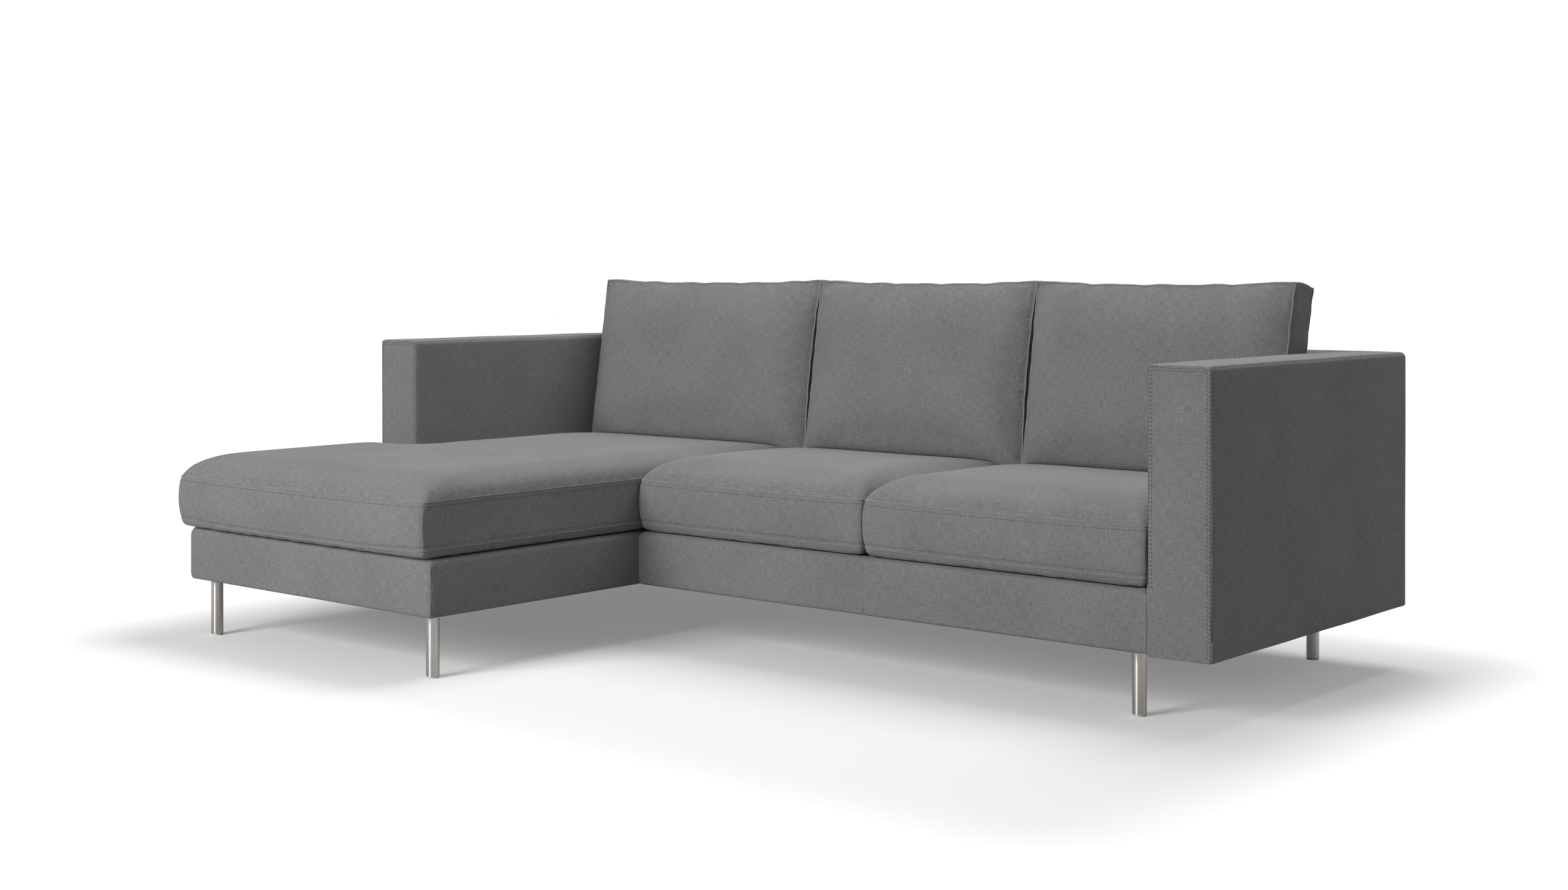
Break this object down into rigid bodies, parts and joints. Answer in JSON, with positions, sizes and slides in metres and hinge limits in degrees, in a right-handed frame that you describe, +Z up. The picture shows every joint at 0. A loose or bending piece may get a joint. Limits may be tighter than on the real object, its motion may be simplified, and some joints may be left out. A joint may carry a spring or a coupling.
{
  "type": "sectional sofa with chaise",
  "caption": "L-shaped sofa in plain grey woven fabric: chaise on the left, slab arms, loose crowned seat cushions, leaning back cushions, and thin round steel legs",
  "frame": {"origin": "on the floor, under the middle of the whole sofa's outer box", "axes": "+X along the sofa from the chaise end to the other arm, +Y from the front to the back, +Z up"},
  "size_m": [2.52, 1.612, 0.8901],
  "materials": {
    "grey_weave": "matte",
    "black_lining": "matte",
    "foam": "matte",
    "felt": "matte",
    "webbing": "matte",
    "timber": "matte",
    "hardboard": "matte",
    "brushed_steel": "satin",
    "zinc_steel": "satin",
    "glide_plastic": "matte"
  },
  "bodies": {
    "sofa_frame": {"back_post_screws": "zinc_steel", "chaise_back_cover": "grey_weave", "chaise_back_frame": "timber", "chaise_back_padding": "foam", "chaise_back_panels": "hardboard", "chaise_base_cover": "grey_weave", "chaise_cross_rails": "timber", "chaise_deck_pad": "felt", "chaise_dust_cover": "black_lining", "chaise_end_rails": "timber", "chaise_side_rails": "timber", "chaise_webbing": "webbing", "frame_nuts": "zinc_steel", "left_arm_boards": "timber", "left_arm_bolts": "zinc_steel", "left_arm_cover": "grey_weave", "left_arm_padding": "foam", "left_arm_panels": "hardboard", "left_arm_posts": "timber", "leg_blocks": "timber", "leg_chaise_back_left": "brushed_steel", "leg_chaise_back_right": "brushed_steel", "leg_chaise_front_left": "brushed_steel", "leg_chaise_front_right": "brushed_steel", "leg_glides": "glide_plastic", "leg_main_back_right": "brushed_steel", "leg_main_front_right": "brushed_steel", "leg_plate_screws": "zinc_steel", "leg_plates": "zinc_steel", "main_back_cover": "grey_weave", "main_back_frame": "timber", "main_back_padding": "foam", "main_back_panels": "hardboard", "main_base_cover": "grey_weave", "main_cross_rail": "timber", "main_deck_pad": "felt", "main_dust_cover": "black_lining", "main_end_rails": "timber", "main_long_rails": "timber", "main_webbing": "webbing", "module_bolts": "zinc_steel", "right_arm_boards": "timber", "right_arm_bolts": "zinc_steel", "right_arm_cover": "grey_weave", "right_arm_padding": "foam", "right_arm_panels": "hardboard", "right_arm_posts": "timber"},
    "chaise_seat_cushion": {"chaise_seat_cushion_cover": "grey_weave", "chaise_seat_cushion_core": "foam"},
    "middle_seat_cushion": {"middle_seat_cushion_cover": "grey_weave", "middle_seat_cushion_core": "foam"},
    "right_seat_cushion": {"right_seat_cushion_cover": "grey_weave", "right_seat_cushion_core": "foam"},
    "left_back_cushion": {"left_back_cushion_cover": "grey_weave", "left_back_cushion_filling": "foam"},
    "middle_back_cushion": {"middle_back_cushion_cover": "grey_weave", "middle_back_cushion_filling": "foam"},
    "right_back_cushion": {"right_back_cushion_cover": "grey_weave", "right_back_cushion_filling": "foam"}
  },
  "joints": [
    {"name": "chaise_seat_cushion_pull", "type": "slide", "parent": "sofa_frame", "child": "chaise_seat_cushion", "axis": [0, -1, 0], "range_m": [0, 0.8]},
    {"name": "middle_seat_cushion_pull", "type": "slide", "parent": "sofa_frame", "child": "middle_seat_cushion", "axis": [0, -1, 0], "range_m": [0, 0.7]},
    {"name": "right_seat_cushion_pull", "type": "slide", "parent": "sofa_frame", "child": "right_seat_cushion", "axis": [0, -1, 0], "range_m": [0, 0.7]},
    {"name": "left_back_cushion_lift", "type": "slide", "parent": "sofa_frame", "child": "left_back_cushion", "axis": [0, 0, 1], "range_m": [0, 0.32]},
    {"name": "middle_back_cushion_lift", "type": "slide", "parent": "sofa_frame", "child": "middle_back_cushion", "axis": [0, 0, 1], "range_m": [0, 0.32]},
    {"name": "right_back_cushion_lift", "type": "slide", "parent": "sofa_frame", "child": "right_back_cushion", "axis": [0, 0, 1], "range_m": [0, 0.32]}
  ]
}
